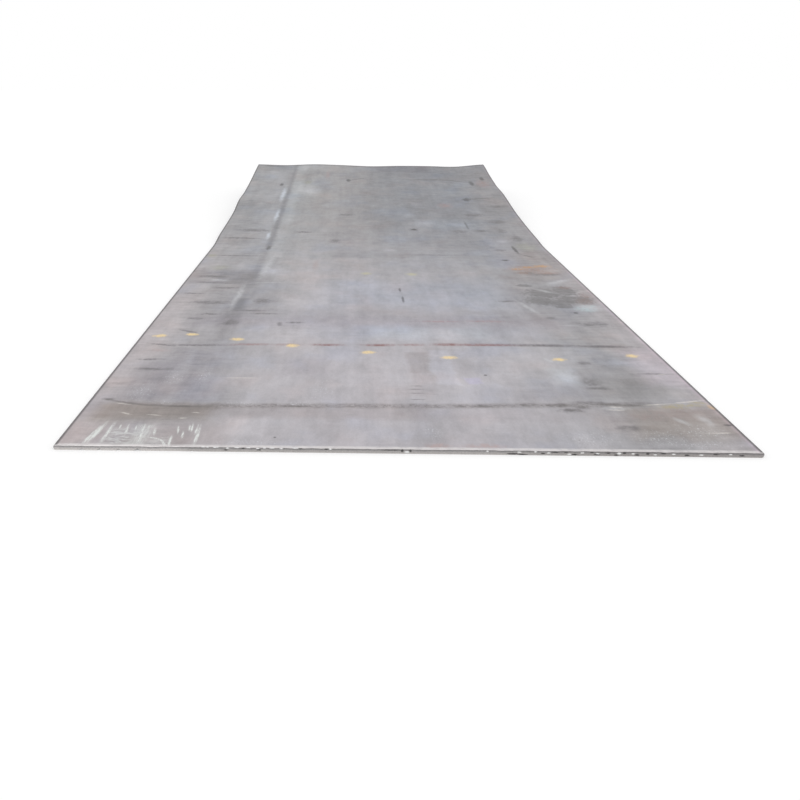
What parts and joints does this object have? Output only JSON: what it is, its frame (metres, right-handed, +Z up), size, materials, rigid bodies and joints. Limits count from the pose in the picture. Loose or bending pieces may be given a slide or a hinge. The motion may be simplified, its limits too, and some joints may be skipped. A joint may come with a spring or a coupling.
{
  "type": "wear plate",
  "caption": "Rectangular steel wear plate, rolled long edges and sheared ends, lying flat with its far end lifted by coil set.",
  "frame": {"origin": "centre of the bounding box on the level floor that the plate lies on", "axes": "+X across the plate, +Y along it towards the lifted end, +Z up"},
  "size_m": [1.5, 3.9954, 0.1698],
  "materials": {
    "mill_scale_steel": "blue-grey mill scale, semi-matt, with scuffs, rust stains and paint dabs"
  },
  "bodies": {
    "root": {"wear_plate": "mill_scale_steel"}
  },
  "joints": []
}
